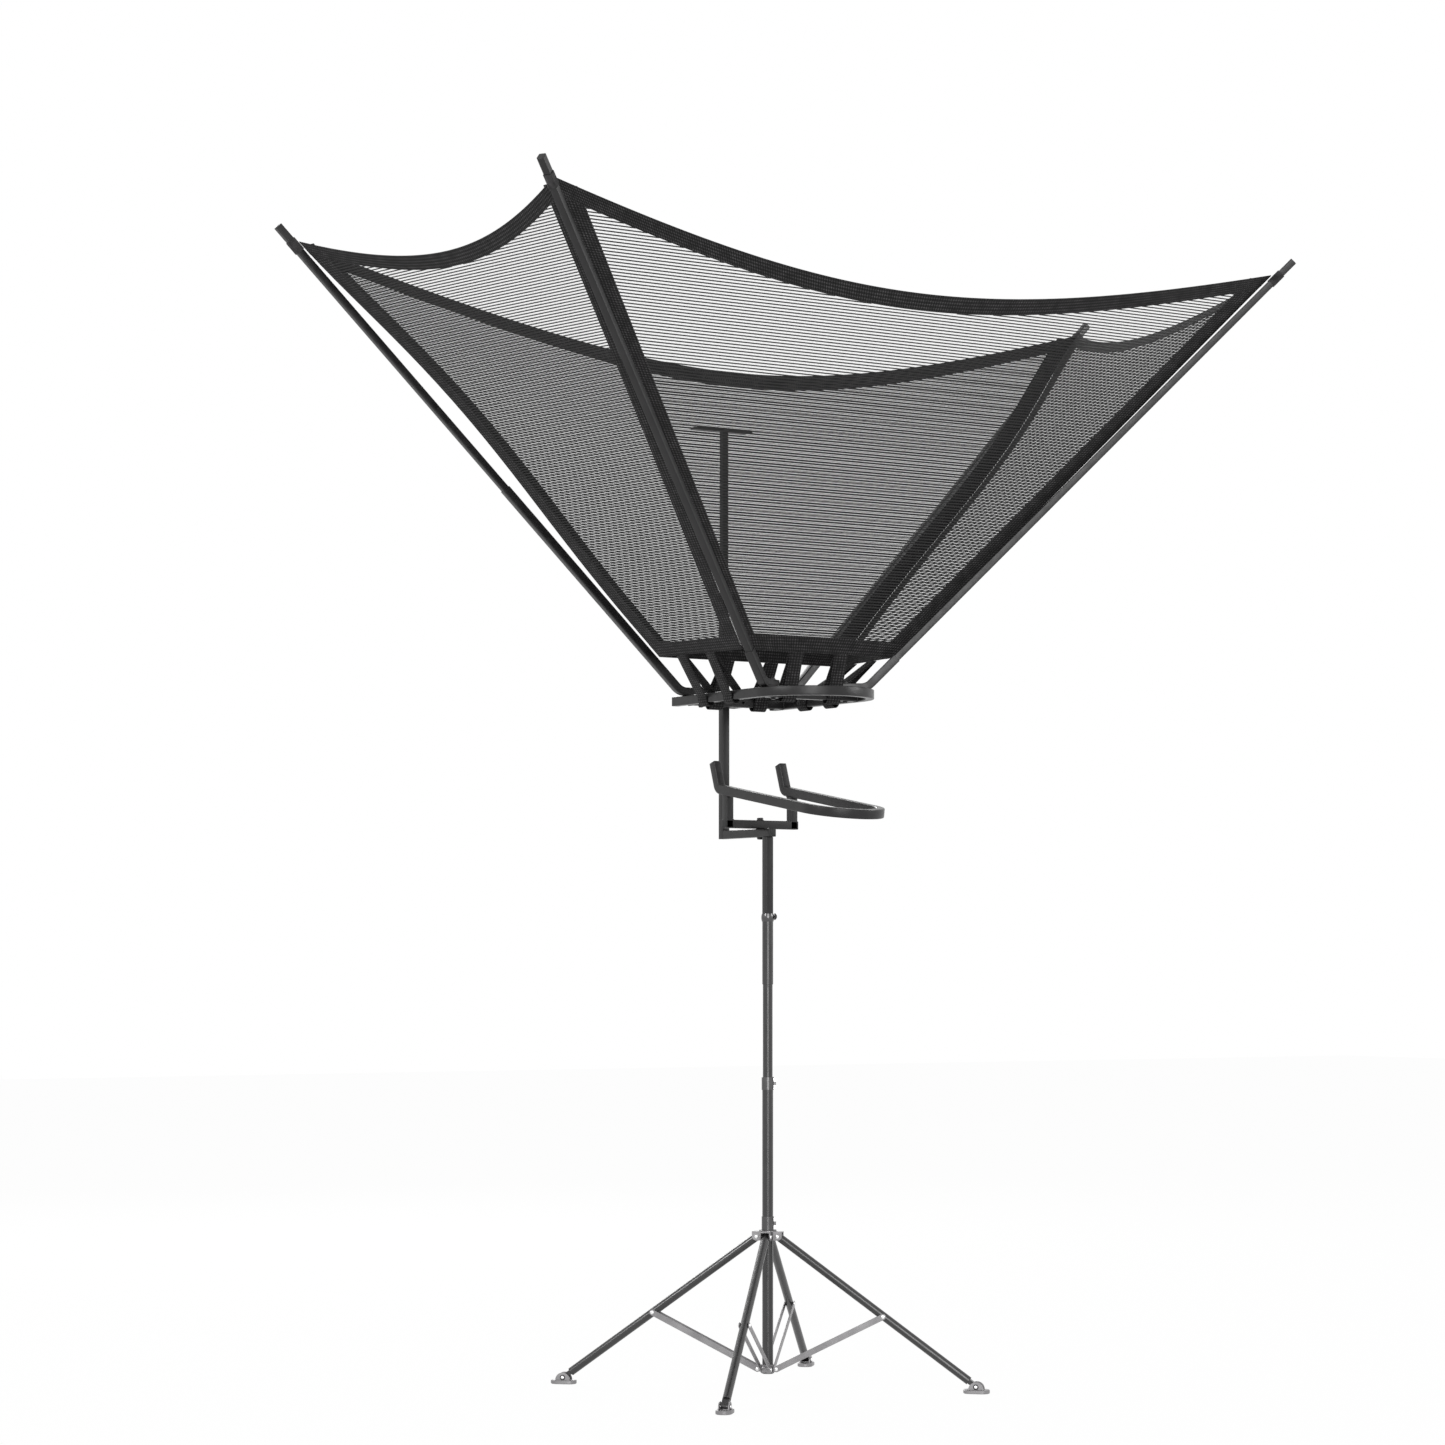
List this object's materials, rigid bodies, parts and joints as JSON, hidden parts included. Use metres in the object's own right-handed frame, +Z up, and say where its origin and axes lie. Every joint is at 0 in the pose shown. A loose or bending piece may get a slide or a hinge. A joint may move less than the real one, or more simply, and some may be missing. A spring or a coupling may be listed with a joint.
{
  "type": "basketball return attachment",
  "caption": "Folding stand with a telescoping mast, a swivelling return chute and a wide funnel net on spread arms.",
  "frame": {"origin": "middle of the bounding box's base, on the floor that the feet stand on", "axes": "+Z up along the mast, -Y towards the court and the chute's low end, +X to the right seen from the court"},
  "size_m": [2.9844, 1.384, 3.4094],
  "materials": {
    "black_paint": "satin black powder coat",
    "grey_zinc": "dull zinc plate",
    "black_plastic": "moulded matt",
    "webbing": "woven polyester webbing",
    "mesh": "fine open knitted mesh"
  },
  "bodies": {
    "stand": {"lower_tube": "black_paint", "bottom_collar": "grey_zinc", "mid_collar": "black_paint"},
    "hub": {"leg_hub": "grey_zinc", "hub_collar": "black_paint"},
    "mast": {"mast_tube": "black_paint", "mast_sleeve": "black_paint", "top_collar": "black_paint"},
    "knob": {"top_knob": "black_plastic"},
    "leg_right_back": {"leg_right_back": "black_paint"},
    "brace_right_back": {"brace_right_back": "grey_zinc"},
    "foot_right_back": {"foot_right_back": "grey_zinc"},
    "leg_left_back": {"leg_left_back": "black_paint"},
    "brace_left_back": {"brace_left_back": "grey_zinc"},
    "foot_left_back": {"foot_left_back": "grey_zinc"},
    "leg_left_front": {"leg_left_front": "black_paint"},
    "brace_left_front": {"brace_left_front": "grey_zinc"},
    "foot_left_front": {"foot_left_front": "grey_zinc"},
    "leg_right_front": {"leg_right_front": "black_paint"},
    "brace_right_front": {"brace_right_front": "grey_zinc"},
    "foot_right_front": {"foot_right_front": "grey_zinc"},
    "head": {"mast_top": "black_paint", "post_lower": "black_paint", "chute_pivot_bolt": "grey_zinc", "ring_tube": "black_paint", "ring_front_bar": "black_paint", "ring_back_bar": "black_paint", "post_u_bolt": "grey_zinc", "arm_lower_back_left": "black_paint", "arm_lower_back_right": "black_paint", "arm_lower_front_left": "black_paint", "arm_lower_front_right": "black_paint", "arm_bolt_back_left": "grey_zinc", "arm_bolt_back_right": "grey_zinc", "arm_bolt_front_left": "grey_zinc", "arm_bolt_front_right": "grey_zinc", "corner_loop_back_left": "webbing", "corner_loop_back_right": "webbing", "corner_loop_front_left": "webbing", "corner_loop_front_right": "webbing", "net_front": "mesh", "net_back": "mesh", "net_left": "mesh", "net_right": "mesh", "strap_back_left": "webbing", "strap_back_right": "webbing", "strap_front_left": "webbing", "strap_front_right": "webbing", "strap_left_1": "webbing", "strap_left_2": "webbing", "strap_right_1": "webbing", "strap_right_2": "webbing"},
    "chute": {"chute_tube": "black_paint", "chute_bracket": "black_paint"},
    "post_top": {"post_upper": "black_paint", "hook_plate": "black_paint"},
    "arm_back_left": {"arm_upper_back_left": "black_paint"},
    "arm_back_right": {"arm_upper_back_right": "black_paint"},
    "arm_front_left": {"arm_upper_front_left": "black_paint"},
    "arm_front_right": {"arm_upper_front_right": "black_paint"}
  },
  "joints": [
    {"name": "hub_slide", "type": "slide", "parent": "stand", "child": "hub", "axis": [0, 0, 1], "range_m": [0, 0.3625]},
    {"name": "leg_fold_right_back", "type": "hinge", "parent": "hub", "child": "leg_right_back", "pos_m": [0.02263, 0.22962, 0.46], "axis": [-0.7071, 0.7071, 0], "range_deg": [0, 49.43]},
    {"name": "brace_fold_right_back", "type": "hinge", "parent": "stand", "child": "brace_right_back", "pos_m": [0.02051, 0.2275, 0.06], "axis": [0.7071, -0.7071, 0], "range_deg": [0, 57.85]},
    {"name": "foot_tilt_right_back", "type": "hinge", "parent": "leg_right_back", "child": "foot_right_back", "pos_m": [0.44972, 0.65672, 0.02], "axis": [0.7071, -0.7071, 0], "range_deg": [-20, 90]},
    {"name": "leg_fold_left_back", "type": "hinge", "parent": "hub", "child": "leg_left_back", "pos_m": [-0.02263, 0.22962, 0.46], "axis": [-0.7071, -0.7071, 0], "range_deg": [0, 49.43]},
    {"name": "brace_fold_left_back", "type": "hinge", "parent": "stand", "child": "brace_left_back", "pos_m": [-0.02051, 0.2275, 0.06], "axis": [0.7071, 0.7071, 0], "range_deg": [0, 57.85]},
    {"name": "foot_tilt_left_back", "type": "hinge", "parent": "leg_left_back", "child": "foot_left_back", "pos_m": [-0.44972, 0.65672, 0.02], "axis": [0.7071, 0.7071, 0], "range_deg": [-20, 90]},
    {"name": "leg_fold_left_front", "type": "hinge", "parent": "hub", "child": "leg_left_front", "pos_m": [-0.02263, 0.18437, 0.46], "axis": [0.7071, -0.7071, 0], "range_deg": [0, 49.43]},
    {"name": "brace_fold_left_front", "type": "hinge", "parent": "stand", "child": "brace_left_front", "pos_m": [-0.02051, 0.18649, 0.06], "axis": [-0.7071, 0.7071, 0], "range_deg": [0, 57.85]},
    {"name": "foot_tilt_left_front", "type": "hinge", "parent": "leg_left_front", "child": "foot_left_front", "pos_m": [-0.44972, -0.24272, 0.02], "axis": [-0.7071, 0.7071, 0], "range_deg": [-20, 90]},
    {"name": "leg_fold_right_front", "type": "hinge", "parent": "hub", "child": "leg_right_front", "pos_m": [0.02263, 0.18437, 0.46], "axis": [0.7071, 0.7071, 0], "range_deg": [0, 49.43]},
    {"name": "brace_fold_right_front", "type": "hinge", "parent": "stand", "child": "brace_right_front", "pos_m": [0.02051, 0.18649, 0.06], "axis": [-0.7071, -0.7071, 0], "range_deg": [0, 57.85]},
    {"name": "foot_tilt_right_front", "type": "hinge", "parent": "leg_right_front", "child": "foot_right_front", "pos_m": [0.44972, -0.24272, 0.02], "axis": [-0.7071, -0.7071, 0], "range_deg": [-20, 90]},
    {"name": "mast_height", "type": "slide", "parent": "stand", "child": "mast", "axis": [0, 0, 1], "range_m": [-0.275, 0.3]},
    {"name": "knob_turn", "type": "hinge", "parent": "mast", "child": "knob", "pos_m": [0.02097, 0.19338, 1.427], "axis": [0.8387, -0.5446, 0], "range_deg": [-180, 180]},
    {"name": "mast_top_height", "type": "slide", "parent": "mast", "child": "head", "axis": [0, 0, 1], "range_m": [0, 0.06]},
    {"name": "chute_swivel", "type": "hinge", "parent": "head", "child": "chute", "pos_m": [0, 0.248, 1.694], "axis": [0, 0, 1], "range_deg": [-120, 120]},
    {"name": "post_height", "type": "slide", "parent": "head", "child": "post_top", "axis": [0, 0, 1], "range_m": [-0.5, 0]},
    {"name": "arm_slide_back_left", "type": "slide", "parent": "head", "child": "arm_back_left", "axis": [-0.7033, 0.0732, 0.7071], "range_m": [-0.045, 0]},
    {"name": "arm_slide_back_right", "type": "slide", "parent": "head", "child": "arm_back_right", "axis": [0.7033, 0.0732, 0.7071], "range_m": [-0.045, 0]},
    {"name": "arm_slide_front_left", "type": "slide", "parent": "head", "child": "arm_front_left", "axis": [-0.6163, -0.3467, 0.7071], "range_m": [-0.045, 0]},
    {"name": "arm_slide_front_right", "type": "slide", "parent": "head", "child": "arm_front_right", "axis": [0.6163, -0.3467, 0.7071], "range_m": [-0.045, 0]}
  ],
  "couplings": [
    {"joint": "leg_fold_right_back", "follows": "hub_slide", "rad_per_m": 2.3794},
    {"joint": "brace_fold_right_back", "follows": "hub_slide", "rad_per_m": 2.7848},
    {"joint": "leg_fold_left_back", "follows": "hub_slide", "rad_per_m": 2.3794},
    {"joint": "brace_fold_left_back", "follows": "hub_slide", "rad_per_m": 2.7848},
    {"joint": "leg_fold_left_front", "follows": "hub_slide", "rad_per_m": 2.3794},
    {"joint": "brace_fold_left_front", "follows": "hub_slide", "rad_per_m": 2.7848},
    {"joint": "leg_fold_right_front", "follows": "hub_slide", "rad_per_m": 2.3794},
    {"joint": "brace_fold_right_front", "follows": "hub_slide", "rad_per_m": 2.7848}
  ]
}
